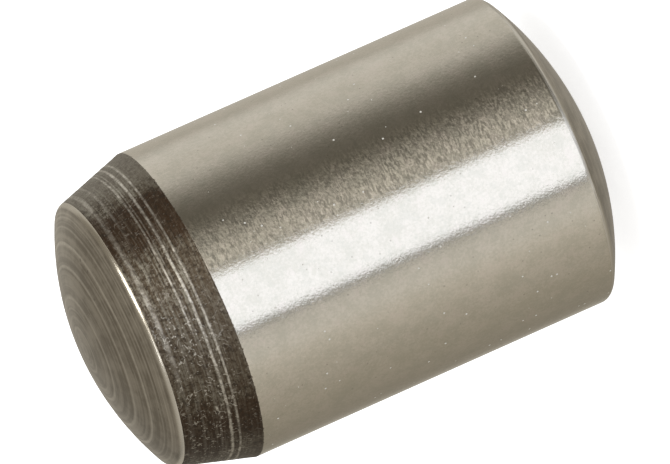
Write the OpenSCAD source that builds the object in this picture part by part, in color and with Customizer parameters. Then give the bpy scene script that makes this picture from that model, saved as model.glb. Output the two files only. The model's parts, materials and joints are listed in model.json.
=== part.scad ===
// Hardened and ground steel dowel pin, turned from one bar.
// It stands on its plain end, with the chamfered lead-in end up.
// Both ends are crowned. The lead-in end has a long, shallow chamfer
// between its crown and the ground shank, and each crown runs out
// through a small rounded edge.
// Every size is in millimetres, and every angle in degrees.

/* [Shank] */
// Diameter of the ground shank
pin_d = 6; // [4:0.5:8]
// Length over both crowns
pin_length = 10; // [8:1:60]

/* [Lead-in end] */
// Radius of the crown on the lead-in end
lead_crown_r = 5.4; // [4:0.05:20]
// Distance from the tip of the crown to the start of the ground shank
lead_length = 2.05; // [1.2:0.05:4]
// Angle between the chamfer and the pin's axis
lead_angle = 17; // [10:0.5:20]
// Radius of the edge between the crown and the chamfer
lead_edge_r = 0.2; // [0.1:0.05:0.8]

/* [Plain end] */
// Radius of the crown on the plain end
plain_crown_r = 5.75; // [4:0.05:20]
// Radius of the edge between the crown and the ground shank
plain_edge_r = 0.4; // [0.1:0.05:0.8]

/* [Hidden] */
$fn = 160;

pin_r = pin_d / 2;
// How far an edge's circle stands proud of the crown and of the flank,
// so that it crosses them at a small angle instead of only touching them
edge_proud = 0.0002;
// Spare length on shapes that are cut away
spare = 1;

// Each end is drawn as a half section in its own frame: x is the
// distance from the axis, and y is the depth below the crown's tip.
// The crown is an arc about [0, crown_r]. The flank is a straight line
// that leans by angle and reaches the shank's radius at depth flank_end.

// Distance of the flank's line from the axis at depth y
function flank_x(flank_end, angle, y) =
    pin_r - (flank_end - y) * tan(angle);

// Centre of a circle of radius r that touches the crown and the flank from inside
function edge_centre(crown_r, flank_end, angle, r) =
    let (
        foot = flank_x(flank_end, angle, 0) - r / cos(angle),
        a = 1 + pow(tan(angle), 2),
        b = 2 * (foot * tan(angle) - crown_r),
        c = pow(foot, 2) + pow(crown_r, 2) - pow(crown_r - r, 2),
        y = (-b - sqrt(b * b - 4 * a * c)) / (2 * a)
    )
    [foot + y * tan(angle), y];

// Corner that is turned away outside the edge's arc
module edge_waste(crown_r, flank_end, angle, edge_r) {
    centre = edge_centre(crown_r, flank_end, angle, edge_r - edge_proud);
    from_crown = centre - [0, crown_r];
    to_crown = from_crown / norm(from_crown);
    to_flank = [cos(angle), -sin(angle)];
    difference() {
        polygon([
            centre,
            centre + spare * to_crown,
            centre + 2 * spare * (to_crown + to_flank),
            centre + spare * to_flank
        ]);
        translate(centre) circle(r = edge_r);
    }
}

// What is turned away outside the crown's arc
module crown_waste(crown_r) {
    difference() {
        translate([-spare, -spare])
        square([crown_r + 2 * spare, crown_r + spare]);
        translate([0, crown_r]) circle(r = crown_r);
    }
}

// Half section of one end, from its tip down to depth bottom
module end_section(crown_r, flank_end, angle, edge_r, bottom) {
    difference() {
        polygon([
            [0, -spare],
            [flank_x(flank_end, angle, -spare), -spare],
            [pin_r, flank_end],
            [pin_r, bottom],
            [0, bottom]
        ]);
        crown_waste(crown_r);
        edge_waste(crown_r, flank_end, angle, edge_r);
    }
}

// The whole pin, turned from its half section
module dowel_pin() {
    middle = pin_length / 2;
    color([0.62, 0.60, 0.56])
    rotate_extrude() {
        end_section(plain_crown_r, 0, 0, plain_edge_r, middle);
        translate([0, pin_length])
        mirror([0, 1])
        end_section(lead_crown_r, lead_length, lead_angle, lead_edge_r, middle);
    }
}

dowel_pin();
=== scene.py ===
import json
import math

import bmesh
import bpy
from mathutils import Matrix, Vector


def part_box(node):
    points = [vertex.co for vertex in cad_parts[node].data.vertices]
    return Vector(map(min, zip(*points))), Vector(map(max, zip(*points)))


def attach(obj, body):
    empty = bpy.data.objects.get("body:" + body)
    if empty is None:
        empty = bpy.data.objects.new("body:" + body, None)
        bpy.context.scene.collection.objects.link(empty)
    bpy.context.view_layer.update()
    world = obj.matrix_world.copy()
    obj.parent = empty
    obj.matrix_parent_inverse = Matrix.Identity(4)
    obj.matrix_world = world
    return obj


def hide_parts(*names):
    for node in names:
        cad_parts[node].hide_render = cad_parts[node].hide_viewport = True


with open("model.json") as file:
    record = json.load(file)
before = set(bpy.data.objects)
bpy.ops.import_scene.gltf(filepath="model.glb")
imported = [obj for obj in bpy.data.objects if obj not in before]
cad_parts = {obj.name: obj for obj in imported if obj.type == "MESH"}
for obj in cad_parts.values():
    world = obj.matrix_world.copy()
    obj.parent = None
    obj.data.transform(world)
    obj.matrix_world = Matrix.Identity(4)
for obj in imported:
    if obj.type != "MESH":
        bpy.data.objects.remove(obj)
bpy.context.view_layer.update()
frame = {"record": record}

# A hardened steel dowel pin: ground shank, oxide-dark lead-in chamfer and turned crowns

# Metres in a millimetre
MM = 0.001

# Sizes of the pin, in millimetres

SHANK = next(m for m in frame["record"]["mounts"] if m["name"] == "shank")
PIN_R = SHANK["dims"]["r_mm"]
PIN_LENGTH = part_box("dowel_pin")[1][2] / MM
LEAD_CROWN_R = 5.4
LEAD_LENGTH = 2.05
LEAD_ANGLE = math.radians(17)
LEAD_EDGE_R = 0.2
PLAIN_CROWN_R = 5.75
PLAIN_EDGE_R = 0.15
# The grinding stops at this height above the plain end's tip
GROUND_FROM = 0.885

# The chamfer was turned a little off the shank's axis, so its rim stands higher on the +X side.
# The lift starts LIFT_FROM below the tip, is greatest at the rim, and fades out RIM_FADE below it.
RIM_TILT = math.radians(0.73)
LIFT_FROM = 0.75
RIM_FADE = 0.6

# Turned rings that shine on the lead-in crown, as radius, width and strength
CROWN_RINGS = [
    (0.43, 0.060, 0.35),
    (0.80, 0.030, 0.60),
    (1.00, 0.045, 0.90),
    (1.55, 0.050, 0.90),
    (1.945, 0.045, 1.20),
    (2.217, 0.030, 0.60),
    (2.300, 0.020, 0.40),
    (2.385, 0.025, 0.70),
    (2.450, 0.020, 0.50),
]
# Rings round the chamfer where the oxide is rubbed off, as depth below the tip, width and strength
CHAMFER_RINGS = [
    (0.865, 0.065, 0.50),
    (1.070, 0.035, 0.45),
    (1.367, 0.028, 0.80),
    (1.425, 0.018, 0.40),
    (1.540, 0.036, 1.05),
    (1.675, 0.030, 0.85),
]
# Where on X each of these rings is still faint, and where it is full
RING_FADES = [
    (-1.6, -0.3),
    (1.4, 2.1),
    (-0.7, -0.1),
    (0.2, 1.2),
    (-3.0, -2.9),
    (-3.0, -2.9),
]
# Strength of a faint ring against a full one
RING_FAINT = 0.25
# Height of a ring of strength 1, and the length above the rim over which the chamfer's rings run out
RING_RISE = 0.003
RING_RUN_OUT = 0.1

# Steps of the mesh: round the pin, and along the crown, the edge and the flank of each end
ROUND_STEPS = 192
LEAD_STEPS = (170, 12, 90)
PLAIN_STEPS = (60, 20, 0)
SHANK_STEPS = 20
# Rings of the mesh close below the chamfer's rim, as depths below it
RIM_DEPTHS = (0.01, 0.03, 0.08, 0.2, 0.4, RIM_FADE)
# The oxide starts on the outer part of the lead edge, after this many of its steps
EDGE_STEPS_BARE = 10
# A ring of the mesh that is smaller than this is one point on the axis
ON_AXIS = 1e-6


# Turned section

def section_of_end(crown_r, flank_end, angle, edge_r, steps):
    """(radius, depth below the tip) along one end, in three runs: crown, edge and flank."""
    foot = PIN_R - flank_end * math.tan(angle) - edge_r / math.cos(angle)
    slope = math.tan(angle)
    # The edge's circle touches the crown's arc and the flank's line, which makes its depth the root
    # of a quadratic equation
    a = 1 + slope ** 2
    b = 2 * (foot * slope - crown_r)
    c = foot ** 2 + crown_r ** 2 - (crown_r - edge_r) ** 2
    depth = (-b - math.sqrt(b * b - 4 * a * c)) / (2 * a)
    centre = (foot + slope * depth, depth)
    crown_turn = math.atan2(centre[0], crown_r - centre[1])
    flank_turn = math.pi / 2 - angle
    crown_steps, edge_steps, flank_steps = steps
    crown = []
    for i in range(crown_steps + 1):
        turn = crown_turn * i / crown_steps
        crown.append((crown_r * math.sin(turn), crown_r * (1 - math.cos(turn))))
    edge = []
    for i in range(edge_steps + 1):
        turn = crown_turn + (flank_turn - crown_turn) * i / edge_steps
        edge.append((centre[0] + edge_r * math.sin(turn), centre[1] - edge_r * math.cos(turn)))
    start = edge[-1]
    flank = []
    for i in range(flank_steps + 1):
        share = i / flank_steps if flank_steps else 0
        flank.append((start[0] + (PIN_R - start[0]) * share, start[1] + (flank_end - start[1]) * share))
    return crown, edge, flank


def ring_relief(where, rings):
    """Height of the turned rings at a place along the section."""
    relief = 0
    for at, width, strength in rings:
        relief += RING_RISE * strength * math.exp(-((where - at) / width) ** 2)
    return relief


def pin_section():
    """(radius, height, zone) down the whole pin, from the lead-in tip to the plain end's tip."""
    points = []
    crown, edge, flank = section_of_end(LEAD_CROWN_R, LEAD_LENGTH, LEAD_ANGLE, LEAD_EDGE_R, LEAD_STEPS)
    for radius, depth in crown:
        groove = ring_relief(radius, CROWN_RINGS)
        points.append((radius * (1 - groove / LEAD_CROWN_R), PIN_LENGTH - depth - groove, "crown"))
    for i, (radius, depth) in enumerate(edge[1:]):
        points.append((radius, PIN_LENGTH - depth, "lead_edge" if i < EDGE_STEPS_BARE else "chamfer"))
    for radius, depth in flank[1:]:
        ridge = ring_relief(depth, CHAMFER_RINGS) - RING_RISE
        ridge *= min(1, (LEAD_LENGTH - depth) / RING_RUN_OUT)
        points.append((radius + ridge, PIN_LENGTH - depth, "chamfer"))
    crown, edge, _ = section_of_end(PLAIN_CROWN_R, 0, 0, PLAIN_EDGE_R, PLAIN_STEPS)
    shank_low = edge[-1][1]
    shank_high = PIN_LENGTH - LEAD_LENGTH
    for down in RIM_DEPTHS:
        points.append((PIN_R, shank_high - down, "shank"))
    for i in range(1, SHANK_STEPS + 1):
        height = shank_high - RIM_FADE + (shank_low - shank_high + RIM_FADE) * i / SHANK_STEPS
        points.append((PIN_R, height, "shank"))
    for radius, depth in reversed(edge[:-1]):
        points.append((radius, depth, "shank" if depth > GROUND_FROM else "plain_edge"))
    for radius, depth in reversed(crown[:-1]):
        points.append((radius, depth, "plain_crown"))
    return points


def rim_lift(height, x):
    """How far the off-centre chamfer lifts a point: most at its rim, and none far from it."""
    rim = PIN_LENGTH - LEAD_LENGTH
    reach = RIM_FADE if height < rim else LEAD_LENGTH - LIFT_FROM
    share = max(0, 1 - abs(height - rim) / reach)
    return share * math.tan(RIM_TILT) * x


def turned_pin(materials):
    """The whole pin as one closed mesh, turned from its section."""
    mesh = bpy.data.meshes.new("turned_pin")
    slots = {name: i for i, name in enumerate(materials)}
    work = bmesh.new()
    rings = []
    for radius, height, zone in pin_section():
        if radius < ON_AXIS:
            rings.append(([work.verts.new((0, 0, height * MM))], zone))
            continue
        ring = []
        for i in range(ROUND_STEPS):
            turn = math.tau * i / ROUND_STEPS
            x, y = radius * math.cos(turn), radius * math.sin(turn)
            ring.append(work.verts.new((x * MM, y * MM, (height + rim_lift(height, x)) * MM)))
        rings.append((ring, zone))
    for (upper, _), (lower, zone) in zip(rings, rings[1:]):
        for i in range(ROUND_STEPS):
            j = (i + 1) % ROUND_STEPS
            corners = [ring[k % len(ring)] for ring, k in ((upper, i), (lower, i), (lower, j), (upper, j))]
            # Two corners on the axis are the same point, which makes the face a triangle
            face = work.faces.new(list(dict.fromkeys(corners)))
            face.smooth = True
            face.material_index = slots[zone]
    work.normal_update()
    work.to_mesh(mesh)
    work.free()
    for material in materials.values():
        mesh.materials.append(material)
    piece = bpy.data.objects.new("turned_pin", mesh)
    bpy.context.collection.objects.link(piece)
    return piece


# Tones of the finishes

SHANK_DARK = (0.462, 0.430, 0.353, 1)
SHANK_LIGHT = (0.533, 0.489, 0.412, 1)
SHANK_PIT = (0.2, 0.18, 0.15, 1)
STAIN_GREEN = (0.440, 0.417, 0.345, 1)
STAIN_PINK = (0.540, 0.484, 0.415, 1)
DUST = (0.60, 0.58, 0.53, 1)
TURNED_DARK = (0.250, 0.224, 0.182, 1)
TURNED_LIGHT = (0.402, 0.368, 0.310, 1)
CROWN_PIT = (0.13, 0.11, 0.09, 1)
BURNISHED_STEEL = (0.50, 0.462, 0.385, 1)
# Steel of the rubbed and turned rings, also used for the painted highlight line on the plain crown's rim
RING_STEEL_AND_HIGHLIGHT = (0.60, 0.565, 0.49, 1)
# Colour of the painted highlight along the lower side of the lead edge, where it catches light
PAINTED_EDGE_HIGHLIGHT = (0.90, 0.87, 0.80, 1)
OXIDE_DARK = (0.052, 0.032, 0.019, 1)
OXIDE_BLACK = (0.042, 0.033, 0.024, 1)
OXIDE_BROWN = (0.086, 0.066, 0.045, 1)
OXIDE_GREY = (0.165, 0.144, 0.111, 1)
OXIDE_LIGHT = (0.250, 0.234, 0.188, 1)
PALE = (0.8, 0.8, 0.8, 1)
WHITE = (1, 1, 1, 1)

# How much of the tone below a pit, a ring, the burnished edge and rubbed metal cover
PIT_COVER = 0.45
RING_COVER = 0.75
BURNISHED_COVER = 0.7
RUBBED_COVER = 0.85
# How strong a scratch is against a ring of strength 1
SCRATCH_STRENGTH = 0.7

# Roughness of the finishes, and what dust adds to it and burnishing and rubbing take off it
GROUND_ROUGHNESS = 0.12
TURNED_ROUGHNESS = 0.34
OXIDE_ROUGHNESS = 0.45
DUST_ROUGHER = 0.4
BURNISHED_SMOOTHER = 0.11
RUBBED_SMOOTHER = 0.15

# Depth of the fine relief on each finish, in millimetres
GROUND_RELIEF = 0.0023
LEAD_RELIEF = 0.006
PLAIN_RELIEF = 0.008
OXIDE_RELIEF = 0.007
# How far the grain leans the shank's surface, as a slope
GRAIN_LEAN = 0.16

# Middle of a noise pattern's values
NOISE_MIDDLE = 0.5
# How far a ring wanders from its place, over all
RING_WANDER = 0.05
# Fine rings of the turning: how close they lie, and how slowly they change from side to side
TURNING_ACROSS = 13.0
TURNING_ALONG = 0.35
# Radii between which the lead edge gets burnished, its lower side gets a painted highlight, and
# the plain crown gets a painted highlight line where the grinding stops
BURNISHED_FROM, BURNISHED_TO = 2.50, 2.55
EDGE_HIGHLIGHT_FROM, EDGE_HIGHLIGHT_TO = 2.52, 2.57
RIM_HIGHLIGHT_FROM, RIM_HIGHLIGHT_TO = 2.90, 2.97
# The oxide creeps over the rim with a ragged edge: how far the edge wanders, and how far past the
# rim the oxide is gone and full
OXIDE_WANDER = 0.16
OXIDE_GONE, OXIDE_FULL = 0.085, 0.065
# Where on X the dark blotch on the chamfer starts, is full, is still full and ends, and the same
# for the dull stretch
BLOTCH = (0.9, 1.5, 2.0, 2.3)
DULL_STRETCH = (-2.0, -1.2, -0.2, 0.5)
# Depth below the tip round which the chamfer is scratched most
SCRATCHED_DEPTH = 1.25


# Shader building

FLOAT, COLOUR, VECTOR = "NodeSocketFloat", "NodeSocketColor", "NodeSocketVector"


def add(tree, kind, **settings):
    """A new node of the tree, with its plain settings."""
    made = tree.nodes.new(kind)
    for name, value in settings.items():
        setattr(made, name, value)
    return made


def feed(tree, socket, value):
    """Links an output to a socket, or sets the socket to a plain value."""
    if isinstance(value, bpy.types.NodeSocket):
        tree.links.new(value, socket)
    else:
        socket.default_value = value


def maths(tree, operation, *values):
    """The result of one Math node."""
    made = add(tree, "ShaderNodeMath", operation=operation)
    for socket, value in zip(made.inputs, values):
        feed(tree, socket, value)
    return made.outputs[0]


def times(tree, first, second):
    """The product of two values."""
    return maths(tree, "MULTIPLY", first, second)


def held_back(tree, mask, share):
    """1 where the mask is 0, and less by the share where the mask is 1."""
    return maths(tree, "MULTIPLY_ADD", mask, -share, 1.0)


def weighed(tree, first, second, share):
    """The sum of the first value by its share and the second by the rest."""
    return maths(tree, "ADD", times(tree, first, share), times(tree, second, 1 - share))


def off_from(tree, value, middle):
    """How far a value lies off a middle one, either way."""
    return maths(tree, "ABSOLUTE", maths(tree, "SUBTRACT", value, middle))


def mix(tree, share, first, second):
    """A blend of two colours, by share from 0 to 1."""
    made = add(tree, "ShaderNodeMix", data_type="RGBA")
    feed(tree, made.inputs["Factor"], share)
    feed(tree, made.inputs["A"], first)
    feed(tree, made.inputs["B"], second)
    return made.outputs["Result"]


def ramp(tree, value, low, high, to_low=0.0, to_high=1.0):
    """The value carried over smoothly from the range low to high, and held at both ends."""
    made = add(tree, "ShaderNodeMapRange", interpolation_type="SMOOTHSTEP")
    for socket, number in zip(made.inputs, (value, low, high, to_low, to_high)):
        feed(tree, socket, number)
    return made.outputs[0]


def between(tree, value, start, full, still_full, end):
    """1 while the value lies in a range, with a soft start and a soft end."""
    return times(tree, ramp(tree, value, start, full), ramp(tree, value, end, still_full))


def noise(tree, vector, scale, detail=2.0, roughness=0.5):
    """A noise pattern's value, from 0 to 1."""
    made = add(tree, "ShaderNodeTexNoise")
    feed(tree, made.inputs["Vector"], vector)
    feed(tree, made.inputs["Scale"], scale)
    feed(tree, made.inputs["Detail"], detail)
    feed(tree, made.inputs["Roughness"], roughness)
    return made.outputs["Fac"]


def split(tree, vector):
    """The three parts of a vector."""
    made = add(tree, "ShaderNodeSeparateXYZ")
    feed(tree, made.inputs[0], vector)
    return made.outputs


def bump(tree, height, distance):
    """A Bump node's normal, with its distance in millimetres."""
    made = add(tree, "ShaderNodeBump")
    feed(tree, made.inputs["Height"], height)
    feed(tree, made.inputs["Distance"], distance * MM)
    return made.outputs["Normal"]


def lean_along_axis(tree, lean):
    """The surface's normal, leaned a little along the pin's axis."""
    along = add(tree, "ShaderNodeCombineXYZ")
    feed(tree, along.inputs[2], lean)
    turned = add(tree, "ShaderNodeVectorTransform", vector_type="VECTOR")
    turned.convert_from = "OBJECT"
    turned.convert_to = "WORLD"
    feed(tree, turned.inputs[0], along.outputs[0])
    joined = add(tree, "ShaderNodeVectorMath", operation="ADD")
    feed(tree, joined.inputs[0], add(tree, "ShaderNodeNewGeometry").outputs["Normal"])
    feed(tree, joined.inputs[1], turned.outputs[0])
    unit = add(tree, "ShaderNodeVectorMath", operation="NORMALIZE")
    feed(tree, unit.inputs[0], joined.outputs[0])
    return unit.outputs[0]


def new_group(name, inputs, outputs):
    """An empty shader node group, with its input and output nodes."""
    tree = bpy.data.node_groups.new(name, "ShaderNodeTree")
    for label, kind in inputs:
        tree.interface.new_socket(label, in_out="INPUT", socket_type=kind)
    for label, kind in outputs:
        tree.interface.new_socket(label, in_out="OUTPUT", socket_type=kind)
    return tree, tree.nodes.new("NodeGroupInput"), tree.nodes.new("NodeGroupOutput")


def place(tree, group, **values):
    """A group placed in a tree, with its inputs fed."""
    made = add(tree, "ShaderNodeGroup", node_tree=group)
    for label, value in values.items():
        feed(tree, made.inputs[label.replace("_", " ").capitalize()], value)
    return made


def place_on_pin_group():
    """Where a point lies on the pin, in millimetres: off the axis, below the lead-in tip and on X."""
    tree, _, out = new_group(
        "place_on_pin",
        [],
        [("Place", VECTOR), ("Off axis", FLOAT), ("Below tip", FLOAT), ("Side", FLOAT)],
    )
    scaled = add(tree, "ShaderNodeVectorMath", operation="SCALE")
    feed(tree, scaled.inputs[0], add(tree, "ShaderNodeTexCoord").outputs["Object"])
    feed(tree, scaled.inputs["Scale"], 1 / MM)
    x, y, z = split(tree, scaled.outputs[0])
    flat = maths(tree, "ADD", times(tree, x, x), times(tree, y, y))
    feed(tree, out.inputs["Place"], scaled.outputs[0])
    feed(tree, out.inputs["Off axis"], maths(tree, "SQRT", flat))
    feed(tree, out.inputs["Below tip"], maths(tree, "SUBTRACT", PIN_LENGTH, z))
    feed(tree, out.inputs["Side"], x)
    return tree


def round_marks_group():
    """Short marks that are fine across the turning and long along it, or the other way about."""
    tree, given, out = new_group(
        "round_marks",
        [("Place", VECTOR), ("Across", FLOAT), ("Along", FLOAT), ("Detail", FLOAT)],
        [("Marks", FLOAT)],
    )
    x, y, z = split(tree, given.outputs["Place"])
    join = add(tree, "ShaderNodeCombineXYZ")
    feed(tree, join.inputs[0], times(tree, x, given.outputs["Along"]))
    feed(tree, join.inputs[1], times(tree, y, given.outputs["Along"]))
    feed(tree, join.inputs[2], times(tree, z, given.outputs["Across"]))
    pattern = noise(tree, join.outputs[0], scale=1.0, detail=given.outputs["Detail"], roughness=0.6)
    feed(tree, out.inputs["Marks"], pattern)
    return tree


def ring_line_group():
    """One turned ring: a soft line at a set place, which wanders a little and is broken in patches."""
    tree, given, out = new_group(
        "ring_line",
        [("Place", VECTOR), ("Where", FLOAT), ("At", FLOAT), ("Width", FLOAT), ("Patchy", FLOAT)],
        [("Line", FLOAT)],
    )
    # Each ring has its own part of the noise patterns
    shifted = add(tree, "ShaderNodeVectorMath", operation="ADD")
    feed(tree, shifted.inputs[0], given.outputs["Place"])
    feed(tree, shifted.inputs[1], given.outputs["At"])
    drift = noise(tree, shifted.outputs[0], scale=0.9, detail=1.0)
    wander = maths(tree, "MULTIPLY_ADD", drift, RING_WANDER, -RING_WANDER / 2)
    off = maths(tree, "SUBTRACT", maths(tree, "ADD", given.outputs["Where"], wander), given.outputs["At"])
    far = maths(tree, "ABSOLUTE", maths(tree, "DIVIDE", off, given.outputs["Width"]))
    line = ramp(tree, far, low=1.0, high=0.15)
    patches = noise(tree, shifted.outputs[0], scale=7.0, detail=4.0, roughness=0.8)
    patches = ramp(tree, patches, low=0.60, high=0.42)
    held = maths(tree, "SUBTRACT", 1.0, times(tree, given.outputs["Patchy"], patches))
    feed(tree, out.inputs["Line"], times(tree, line, held))
    return tree


def specks_group():
    """Small round specks, in a share of the cells of a random pattern."""
    tree, given, out = new_group(
        "specks",
        [("Place", VECTOR), ("Cells", FLOAT), ("Radius", FLOAT), ("Share", FLOAT)],
        [("Specks", FLOAT)],
    )
    cells = add(tree, "ShaderNodeTexVoronoi")
    feed(tree, cells.inputs["Vector"], given.outputs["Place"])
    feed(tree, cells.inputs["Scale"], given.outputs["Cells"])
    pick = split(tree, cells.outputs["Color"])[0]
    chosen = maths(tree, "LESS_THAN", pick, given.outputs["Share"])
    size = times(tree, given.outputs["Radius"], given.outputs["Cells"])
    near = ramp(tree, maths(tree, "DIVIDE", cells.outputs["Distance"], size), low=1.0, high=0.6)
    feed(tree, out.inputs["Specks"], times(tree, near, chosen))
    return tree


def turning_group():
    """The fine rings that the turning leaves on a crown, and a tone that follows them and a cloud."""
    tree, given, out = new_group(
        "turning",
        [("Place", VECTOR), ("Off axis", FLOAT), ("Side", FLOAT)],
        [("Rings", FLOAT), ("Tone", COLOUR)],
    )
    stretched = add(tree, "ShaderNodeCombineXYZ")
    feed(tree, stretched.inputs[0], times(tree, given.outputs["Off axis"], TURNING_ACROSS))
    feed(tree, stretched.inputs[1], times(tree, given.outputs["Side"], TURNING_ALONG))
    rings = noise(tree, stretched.outputs[0], scale=1.0, detail=5.0, roughness=0.7)
    cloud = noise(tree, given.outputs["Place"], scale=2.5, detail=4.0, roughness=0.65)
    shade = ramp(tree, weighed(tree, rings, cloud, share=0.6), low=0.42, high=0.58)
    feed(tree, out.inputs["Rings"], rings)
    feed(tree, out.inputs["Tone"], mix(tree, shade, TURNED_DARK, TURNED_LIGHT))
    return tree


GROUPS = {
    "place_on_pin": place_on_pin_group(),
    "round_marks": round_marks_group(),
    "ring_line": ring_line_group(),
    "specks": specks_group(),
    "turning": turning_group(),
}


def new_material(name):
    """A material with a Principled surface, as itself, its tree, its shader and the place on the pin."""
    made = bpy.data.materials.new(name)
    made.use_nodes = True
    tree = made.node_tree
    return made, tree, tree.nodes["Principled BSDF"], place(tree, GROUPS["place_on_pin"]).outputs


def marks(tree, pin, across, along, detail):
    """The round_marks group at its own scale, as a value."""
    made = place(tree, GROUPS["round_marks"], place=pin["Place"], across=across, along=along, detail=detail)
    return made.outputs["Marks"]


def specks(tree, pin, cells, radius, share):
    """The specks group at its own scale, as a mask."""
    made = place(tree, GROUPS["specks"], place=pin["Place"], cells=cells, radius=radius, share=share)
    return made.outputs["Specks"]


def ring_lines(tree, pin, where, rings, patchy):
    """Rings of one face of the pin, added up by their strengths."""
    total = 0.0
    for at, width, strength in rings:
        made = place(tree, GROUPS["ring_line"], place=pin["Place"], where=where, at=at, width=width)
        feed(tree, made.inputs["Patchy"], patchy)
        total = maths(tree, "MULTIPLY_ADD", made.outputs["Line"], strength, total)
    return total


# Finishes

def shank_tone(tree, pin):
    """The ground shank's warm grey, with faint clouds and stains and a few dark pits."""
    cloud = noise(tree, pin["Place"], scale=2.2, detail=5.0, roughness=0.65)
    fine = noise(tree, pin["Place"], scale=18.0, detail=4.0, roughness=0.65)
    shade = ramp(tree, weighed(tree, cloud, fine, share=0.45), low=0.38, high=0.62)
    tone = mix(tree, shade, SHANK_DARK, SHANK_LIGHT)
    stains = noise(tree, pin["Place"], scale=3.4, detail=4.0, roughness=0.7)
    tone = mix(tree, ramp(tree, stains, low=0.50, high=0.38, to_high=0.45), tone, STAIN_GREEN)
    tone = mix(tree, ramp(tree, stains, low=0.54, high=0.66, to_high=0.55), tone, STAIN_PINK)
    pits = specks(tree, pin, cells=7.0, radius=0.020, share=0.2)
    return mix(tree, times(tree, pits, PIT_COVER), tone, SHANK_PIT)


def oxide_past_rim(tree, pin):
    """Where the oxide creeps over the tilted rim on to the shank, by a ragged edge."""
    past_rim = maths(tree, "MULTIPLY_ADD", pin["Side"], math.tan(RIM_TILT), pin["Below tip"])
    fray = noise(tree, pin["Place"], scale=12.0, detail=4.0, roughness=0.7)
    ragged = maths(tree, "MULTIPLY_ADD", fray, OXIDE_WANDER, past_rim)
    return ramp(tree, ragged, low=LEAD_LENGTH + OXIDE_GONE, high=LEAD_LENGTH + OXIDE_FULL)


def ground_steel():
    """The shank: centreless ground, warm grey, with short streaks round it and a few specks of dust."""
    made, tree, shader, pin = new_material("ground_steel")
    tone = mix(tree, oxide_past_rim(tree, pin), shank_tone(tree, pin), OXIDE_BROWN)
    dust = specks(tree, pin, cells=5.5, radius=0.023, share=0.28)
    feed(tree, shader.inputs["Base Color"], mix(tree, dust, tone, DUST))
    feed(tree, shader.inputs["Metallic"], maths(tree, "SUBTRACT", 1.0, dust))
    roughness = maths(tree, "MULTIPLY_ADD", dust, DUST_ROUGHER, GROUND_ROUGHNESS)
    feed(tree, shader.inputs["Roughness"], roughness)
    # The streaks and the grain lean the surface along the axis, so that they show only where the
    # light changes with height, and the edges of the white band stay straight
    streaks = marks(tree, pin, across=25.0, along=9.0, detail=3.0)
    patches = noise(tree, pin["Place"], scale=5.0, detail=3.0, roughness=0.6)
    strength = ramp(tree, patches, low=0.38, high=0.62, to_low=0.08, to_high=0.48)
    grain = noise(tree, pin["Place"], scale=20.0, detail=3.0, roughness=0.6)
    lean = times(tree, maths(tree, "SUBTRACT", streaks, NOISE_MIDDLE), strength)
    lean = maths(tree, "MULTIPLY_ADD", maths(tree, "SUBTRACT", grain, NOISE_MIDDLE), GRAIN_LEAN, lean)
    ground = bump(tree, grain, GROUND_RELIEF)
    feed(tree, ground.node.inputs["Normal"], lean_along_axis(tree, lean))
    feed(tree, shader.inputs["Normal"], ground)
    return made


def turned_steel(name, relief):
    """A crown's metal with its fine rings as relief, still without its colour and roughness."""
    made, tree, shader, pin = new_material(name)
    turning = place(tree, GROUPS["turning"], place=pin["Place"])
    feed(tree, turning.inputs["Off axis"], pin["Off axis"])
    feed(tree, turning.inputs["Side"], pin["Side"])
    feed(tree, shader.inputs["Metallic"], 1.0)
    feed(tree, shader.inputs["Normal"], bump(tree, turning.outputs["Rings"], relief))
    return made, tree, shader, pin, turning.outputs


def pitted(tree, pin, tone):
    """A crown's tone with a few dark pits in it."""
    pits = specks(tree, pin, cells=4.0, radius=0.04, share=0.16)
    return mix(tree, times(tree, pits, PIT_COVER), tone, CROWN_PIT)


def lead_crown_steel():
    """The lead-in crown: turned and hardened, with shining rings, a burnished edge and a painted highlight
    on the edge's lower side.
    """
    made, tree, shader, pin, turned = turned_steel("lead_crown_steel", LEAD_RELIEF)
    off = pin["Off axis"]
    shine = times(tree, ring_lines(tree, pin, off, CROWN_RINGS, patchy=0.3), RING_COVER)
    tone = mix(tree, maths(tree, "MINIMUM", shine, 1.0), turned["Tone"], RING_STEEL_AND_HIGHLIGHT)
    burnished = ramp(tree, off, BURNISHED_FROM, BURNISHED_TO)
    tone = mix(tree, times(tree, burnished, BURNISHED_COVER), tone, BURNISHED_STEEL)
    # Painted highlight: the outer lead edge is lightened on its lower side only, where it catches light
    painted_highlight_side = ramp(tree, pin["Side"], low=0.0, high=-0.9, to_high=0.85)
    tone = mix(tree, times(tree, ramp(tree, off, EDGE_HIGHLIGHT_FROM, EDGE_HIGHLIGHT_TO), painted_highlight_side), tone, PAINTED_EDGE_HIGHLIGHT)
    feed(tree, shader.inputs["Base Color"], pitted(tree, pin, tone))
    roughness = maths(tree, "MULTIPLY_ADD", burnished, -BURNISHED_SMOOTHER, TURNED_ROUGHNESS)
    feed(tree, shader.inputs["Roughness"], roughness)
    return made


def plain_crown_steel():
    """The plain crown: turned, with a painted highlight line at the rim where the grinding stops."""
    made, tree, shader, pin, turned = turned_steel("plain_crown_steel", PLAIN_RELIEF)
    # Painted highlight: a light line round the rim, broken up by the fine rings, stands in for the light
    # the edge catches
    by_ring = ramp(tree, turned["Rings"], low=0.4, high=0.5, to_low=0.35, to_high=0.9)
    painted_rim_highlight = times(tree, ramp(tree, pin["Off axis"], RIM_HIGHLIGHT_FROM, RIM_HIGHLIGHT_TO), by_ring)
    tone = mix(tree, painted_rim_highlight, turned["Tone"], RING_STEEL_AND_HIGHLIGHT)
    feed(tree, shader.inputs["Base Color"], pitted(tree, pin, tone))
    feed(tree, shader.inputs["Roughness"], TURNED_ROUGHNESS)
    return made


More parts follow.
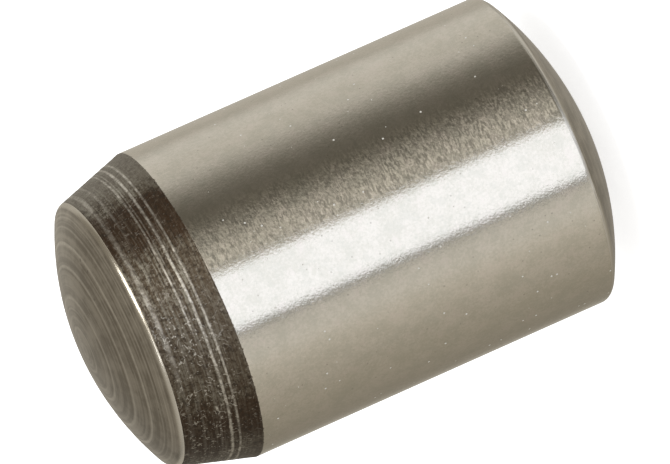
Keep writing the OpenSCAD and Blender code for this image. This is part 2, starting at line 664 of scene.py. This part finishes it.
def oxide_tone(tree, pin, lines, mottle, blotch):
    """The oxide's own colours: brown with dark stains, grey on the upper side, and mottled."""
    side = pin["Side"]
    cloud = noise(tree, pin["Place"], scale=1.6, detail=5.0, roughness=0.7)
    # From -1 to 1, so that the cloud frays the stains both ways
    ragged = maths(tree, "MULTIPLY_ADD", cloud, 2.0, -1.0)
    low_start = ramp(tree, side, low=-1.1, high=-2.2, to_high=0.9)
    low_end = ramp(tree, side, low=-2.8, high=-2.3, to_low=0.45)
    stained = maths(tree, "MAXIMUM", blotch, times(tree, low_start, low_end))
    stained = ramp(tree, maths(tree, "ADD", stained, ragged), low=0.15, high=0.85)
    tone = mix(tree, stained, OXIDE_BROWN, OXIDE_DARK)
    grey = ramp(tree, side, low=2.1, high=2.5)
    tone = mix(tree, grey, tone, OXIDE_GREY)
    black = ramp(tree, mottle, low=0.50, high=0.40, to_high=0.8)
    tone = mix(tree, times(tree, black, held_back(tree, grey, share=0.6)), tone, OXIDE_BLACK)
    lighter = ramp(tree, weighed(tree, lines, mottle, share=0.5), low=0.46, high=0.61, to_high=0.75)
    off_rim = ramp(tree, pin["Below tip"], low=1.80, high=1.60, to_low=0.6)
    dull = between(tree, side, *DULL_STRETCH)
    kept = times(tree, off_rim, held_back(tree, dull, share=0.4))
    kept = times(tree, kept, held_back(tree, stained, share=0.7))
    return mix(tree, times(tree, lighter, kept), tone, OXIDE_LIGHT)


def scratches_and_rubs(tree, pin):
    """Short curls, short lines along the axis and small specks, most in the chamfer's lower middle."""
    curl = off_from(tree, noise(tree, pin["Place"], scale=5.0), NOISE_MIDDLE)
    curls = ramp(tree, curl, low=0.022, high=0.007, to_high=0.9)
    ladder = ramp(tree, marks(tree, pin, across=4.5, along=13.0, detail=2.0), low=0.62, high=0.68)
    breaks = noise(tree, pin["Place"], scale=9.0, detail=3.0, roughness=0.7)
    breaks = ramp(tree, breaks, low=0.49, high=0.55)
    scratches = times(tree, maths(tree, "MAXIMUM", curls, ladder), breaks)
    rubs = specks(tree, pin, cells=11.0, radius=0.018, share=0.4)
    off_depth = off_from(tree, pin["Below tip"], SCRATCHED_DEPTH)
    middle = ramp(tree, off_depth, low=0.6, high=0.25, to_low=0.45)
    lower = ramp(tree, pin["Side"], low=0.3, high=-0.5, to_low=0.35)
    return times(tree, maths(tree, "MAXIMUM", scratches, rubs), times(tree, middle, lower))


def rubbed_bare(tree, pin, blotch):
    """Where the oxide is off the metal: along the rings, and by scratches and rubs."""
    shine = 0.0
    for ring, (faint_side, full_side) in zip(CHAMFER_RINGS, RING_FADES):
        line = ring_lines(tree, pin, pin["Below tip"], [ring], patchy=0.7)
        shown = ramp(tree, pin["Side"], faint_side, full_side, to_low=RING_FAINT)
        shine = maths(tree, "MULTIPLY_ADD", line, shown, shine)
    shine = times(tree, shine, held_back(tree, blotch, share=0.4))
    bare = maths(tree, "MULTIPLY_ADD", scratches_and_rubs(tree, pin), SCRATCH_STRENGTH, shine)
    return maths(tree, "MINIMUM", bare, 1.0)


def oxide_steel():
    """The chamfer: dark heat-treatment oxide, rubbed off along the rings and by short scratches."""
    made, tree, shader, pin = new_material("oxide_steel")
    lines = marks(tree, pin, across=30.0, along=1.6, detail=4.0)
    mottle = noise(tree, pin["Place"], scale=14.0, detail=4.0, roughness=0.75)
    blotch = between(tree, pin["Side"], *BLOTCH)
    bare = rubbed_bare(tree, pin, blotch)
    tone = oxide_tone(tree, pin, lines, mottle, blotch)
    feed(tree, shader.inputs["Base Color"], mix(tree, times(tree, bare, RUBBED_COVER), tone, RING_STEEL_AND_HIGHLIGHT))
    feed(tree, shader.inputs["Metallic"], 1.0)
    roughness = maths(tree, "MULTIPLY_ADD", bare, -RUBBED_SMOOTHER, OXIDE_ROUGHNESS)
    feed(tree, shader.inputs["Roughness"], roughness)
    feed(tree, shader.inputs["Normal"], bump(tree, maths(tree, "ADD", mottle, lines), OXIDE_RELIEF))
    return made


# Studio

# Light that the metal shows near the horizon and in the floor, by azimuth in degrees round the pin:
# its level, and how warm it is. 0 is towards the camera, and positive turns towards -X.
LOW_LIGHT = [
    (-180, 0.58, 0.8), (-165, 0.58, 0.8), (-153, 0.65, 0.7), (-140, 0.67, 0.5), (-130, 0.89, 0.2),
    (-122, 0.98, 0.1), (-108, 0.92, 0.15), (-97, 0.87, 0.15), (-91, 0.79, 0.15), (-81, 0.51, 0.3),
    (-72, 0.31, 0.5), (-63, 0.215, 0.7), (-55, 0.195, 0.8), (-48, 0.215, 0.75), (-40, 0.34, 0.5),
    (-30, 0.57, 0.35), (-23, 0.71, 0.3), (-12, 0.74, 0.2), (29, 0.22, 0.1), (32.2, 0.24, 0.1),
    (34.8, 0.87, 0.05), (43, 0.93, 0.05), (52, 0.96, 0.1), (62, 0.86, 0.35), (75, 0.73, 0.5),
    (90, 0.61, 0.6), (107, 0.53, 0.75), (128, 0.44, 0.85), (145, 0.37, 1.0), (158, 0.37, 1.0),
    (180, 0.58, 0.8),
]
# The same for the light from above
HIGH_LIGHT = [
    (-180, 0.46, 0.7), (-166, 0.60, 0.7), (-140, 0.80, 0.45), (-110, 0.80, 0.45), (-80, 1.0, 0.3),
    (-60, 1.45, 0.3), (-10, 1.65, 0.2), (15, 1.40, 0.3), (45, 1.15, 0.5), (75, 0.90, 0.6),
    (105, 0.40, 0.8), (140, 0.24, 0.8), (166, 0.23, 0.8), (180, 0.40, 0.7),
]
WARM_LIGHT = (1.0, 0.925, 0.78)
# Light straight above, which is dull
TOP_LIGHT = (0.38, 0.35, 0.30, 1)
# Heights, as the sine of the elevation, over which the low light gives way to the high light, and
# the high light to the top light
LOW_TO_HIGH = (0.16, 0.34)
HIGH_TO_TOP = (0.36, 0.54)
# The broad white reflection along the shank, in degrees of azimuth, with the softness of its edges
BAND_FROM, BAND_TO = -11.0, 30.0
BAND_SOFT = 1.2
BAND_LIGHT = (1.83, 1.95, 2.24, 1)
# Between the dark and the white band the light changes quickly with height, which shows the ground
# streaks: the stretch of azimuth with the softness of its ends, the two heights as the sine of the
# elevation, and by how much the light falls and rises there
STREAKS_FROM, STREAKS_TO = -51.0, -14.0
STREAKS_SOFT_FROM, STREAKS_SOFT_TO = 12, 3
STREAKS_LOW, STREAKS_HIGH = math.sin(math.radians(-18)), math.sin(math.radians(-7))
STREAKS_FALL, STREAKS_RISE = -0.34, 0.48
# Highest level that a colour ramp is given
RAMP_TOP = 2.0
# Degrees in a full turn, which a colour ramp covers, and the place of azimuth 0 on it
FULL_TURN = 360
RAMP_MIDDLE = 0.5


def light_by_azimuth(tree, azimuth, lights):
    """A colour ramp of light round the pin."""
    made = add(tree, "ShaderNodeValToRGB")
    stops = made.color_ramp.elements
    while len(stops) < len(lights):
        stops.new(RAMP_MIDDLE)
    for stop, (degrees, level, warmth) in zip(stops, lights):
        stop.position = degrees / FULL_TURN + RAMP_MIDDLE
        stop.color = (*[(1 - warmth + warmth * part) * level / RAMP_TOP for part in WARM_LIGHT], 1)
    feed(tree, made.inputs[0], maths(tree, "MULTIPLY_ADD", azimuth, 1 / FULL_TURN, RAMP_MIDDLE))
    lift = add(tree, "ShaderNodeVectorMath", operation="SCALE")
    feed(tree, lift.inputs[0], made.outputs["Color"])
    feed(tree, lift.inputs["Scale"], RAMP_TOP)
    return lift.outputs[0]


def studio_group():
    """The studio's light by direction, as the metal shows it."""
    tree, given, out = new_group("studio_light", [("Direction", VECTOR)], [("Light", COLOUR)])
    unit = add(tree, "ShaderNodeVectorMath", operation="NORMALIZE")
    feed(tree, unit.inputs[0], given.outputs["Direction"])
    x, y, z = split(tree, unit.outputs[0])
    turn = maths(tree, "ARCTAN2", times(tree, x, -1.0), times(tree, y, -1.0))
    azimuth = maths(tree, "DEGREES", turn)
    low = light_by_azimuth(tree, azimuth, LOW_LIGHT)
    band = between(
        tree,
        azimuth,
        BAND_FROM - BAND_SOFT,
        BAND_FROM + BAND_SOFT,
        BAND_TO - BAND_SOFT,
        BAND_TO + BAND_SOFT,
    )
    low = mix(tree, band, low, BAND_LIGHT)
    high = light_by_azimuth(tree, azimuth, HIGH_LIGHT)
    high = mix(tree, ramp(tree, z, *HIGH_TO_TOP), high, TOP_LIGHT)
    whole = mix(tree, ramp(tree, z, *LOW_TO_HIGH), low, high)
    stretch = between(
        tree,
        azimuth,
        STREAKS_FROM - STREAKS_SOFT_FROM,
        STREAKS_FROM + STREAKS_SOFT_FROM,
        STREAKS_TO - STREAKS_SOFT_TO,
        STREAKS_TO + STREAKS_SOFT_TO,
    )
    change = times(tree, stretch, ramp(tree, z, STREAKS_LOW, STREAKS_HIGH, STREAKS_FALL, STREAKS_RISE))
    scaled = add(tree, "ShaderNodeVectorMath", operation="SCALE")
    feed(tree, scaled.inputs[0], whole)
    feed(tree, scaled.inputs["Scale"], maths(tree, "ADD", change, 1.0))
    feed(tree, out.inputs["Light"], scaled.outputs[0])
    return tree


GROUPS["studio_light"] = studio_group()

# The floor's reach from its middle, in metres, and the light that camera rays add to it
FLOOR_HALF = 3.0
FLOOR_LIFT = 0.75
# Distance of the lamps from the pin, in metres
LAMP_DISTANCE = 0.7
# Soft lamps, as azimuth and elevation in degrees, width and height in metres, and level as the
# metal shows it
LAMPS = {
    "key_softbox": (-36, 53, 0.40, 0.14, 10.0),
    "side_softbox": (18, 53, 0.40, 0.12, 2.4),
}


def world_light():
    """White behind the pin for the camera, and the studio's light in the metal."""
    world = bpy.data.worlds.new("studio")
    bpy.context.scene.world = world
    world.use_nodes = True
    tree = world.node_tree
    back = tree.nodes["Background"]
    rays = add(tree, "ShaderNodeLightPath")
    direction = add(tree, "ShaderNodeTexCoord").outputs["Generated"]
    light = place(tree, GROUPS["studio_light"], direction=direction).outputs["Light"]
    unseen = mix(tree, rays.outputs["Is Glossy Ray"], PALE, light)
    feed(tree, back.inputs["Color"], mix(tree, rays.outputs["Is Camera Ray"], unseen, WHITE))


def pale_floor():
    """A pale floor that the pin throws its shadow on. The metal shows the studio's light, not the floor."""
    mesh = bpy.data.meshes.new("floor")
    corners = [(x * FLOOR_HALF, y * FLOOR_HALF, 0) for x, y in ((-1, -1), (1, -1), (1, 1), (-1, 1))]
    mesh.from_pydata(corners, [], [(0, 1, 2, 3)])
    floor = bpy.data.objects.new("floor", mesh)
    bpy.context.collection.objects.link(floor)
    floor.visible_glossy = False
    made = bpy.data.materials.new("pale_floor")
    made.use_nodes = True
    tree = made.node_tree
    tree.nodes.clear()
    surface = add(tree, "ShaderNodeOutputMaterial")
    rays = add(tree, "ShaderNodeLightPath")
    diffuse = add(tree, "ShaderNodeBsdfDiffuse")
    feed(tree, diffuse.inputs["Color"], PALE)
    lift = add(tree, "ShaderNodeEmission")
    feed(tree, lift.inputs["Color"], WHITE)
    feed(tree, lift.inputs["Strength"], FLOOR_LIFT)
    lifted = add(tree, "ShaderNodeAddShader")
    feed(tree, lifted.inputs[0], diffuse.outputs[0])
    feed(tree, lifted.inputs[1], lift.outputs[0])
    seen = add(tree, "ShaderNodeMixShader")
    feed(tree, seen.inputs[0], rays.outputs["Is Camera Ray"])
    feed(tree, seen.inputs[1], diffuse.outputs[0])
    feed(tree, seen.inputs[2], lifted.outputs[0])
    feed(tree, surface.inputs["Surface"], seen.outputs[0])
    made.cycles.emission_sampling = "NONE"
    mesh.materials.append(made)


def softbox(name, azimuth, elevation, width, height, level):
    """A soft lamp that faces the pin from a direction."""
    data = bpy.data.lights.new(name, "AREA")
    data.shape = "RECTANGLE"
    data.size = width
    data.size_y = height
    data.energy = level * math.pi * width * height
    lamp = bpy.data.objects.new(name, data)
    bpy.context.collection.objects.link(lamp)
    turn, lift = math.radians(azimuth), math.radians(elevation)
    away = Vector((-math.sin(turn) * math.cos(lift), -math.cos(turn) * math.cos(lift), math.sin(lift)))
    lamp.location = away * LAMP_DISTANCE
    lamp.rotation_euler = away.to_track_quat("Z", "Y").to_euler()


# Camera

# The picture's width and the focal length, in pixels of the picture
PICTURE_W = 670
FOCAL_PX = 15000
# Width of the sensor, in millimetres
SENSOR = 36
# How far the camera looks down, and how far the pin's axis is turned off level in the picture
CAMERA_TILT = math.radians(12.38)
AXIS_TURN = math.radians(23.932)
# Where the camera sees the middle of the pin, in its own frame
MIDDLE_SEEN = Vector((-0.026, -0.151, -270.681)) * MM
# Nearest distance that the camera sees, in metres
CLIP_START = 0.01


def photo_camera():
    """The camera of the photo: it looks down a little at the standing pin, and is rolled well over."""
    data = bpy.data.cameras.new("photo_camera")
    data.sensor_fit = "HORIZONTAL"
    data.sensor_width = SENSOR
    data.lens = SENSOR * FOCAL_PX / PICTURE_W
    data.clip_start = CLIP_START
    camera = bpy.data.objects.new("photo_camera", data)
    bpy.context.collection.objects.link(camera)
    upright = Matrix.Rotation(math.pi / 2 - CAMERA_TILT, 3, "X")
    roll = Matrix.Rotation(-(math.pi / 2 + AXIS_TURN), 3, "Z")
    turned = upright @ roll
    middle = Vector((0, 0, PIN_LENGTH / 2 * MM))
    camera.matrix_world = Matrix.Translation(middle - turned @ MIDDLE_SEEN) @ turned.to_4x4()
    bpy.context.scene.camera = camera


bpy.context.scene.view_settings.view_transform = "Standard"
photo_camera()
world_light()
pale_floor()
for lamp_name, lamp_values in LAMPS.items():
    softbox(lamp_name, *lamp_values)

GROUND = ground_steel()
OXIDE = oxide_steel()
LEAD_TURNED = lead_crown_steel()
PLAIN_TURNED = plain_crown_steel()
PIN = turned_pin({
    "crown": LEAD_TURNED, "lead_edge": LEAD_TURNED, "chamfer": OXIDE,
    "shank": GROUND, "plain_edge": PLAIN_TURNED, "plain_crown": PLAIN_TURNED,
})
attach(PIN, "root")
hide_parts("dowel_pin")
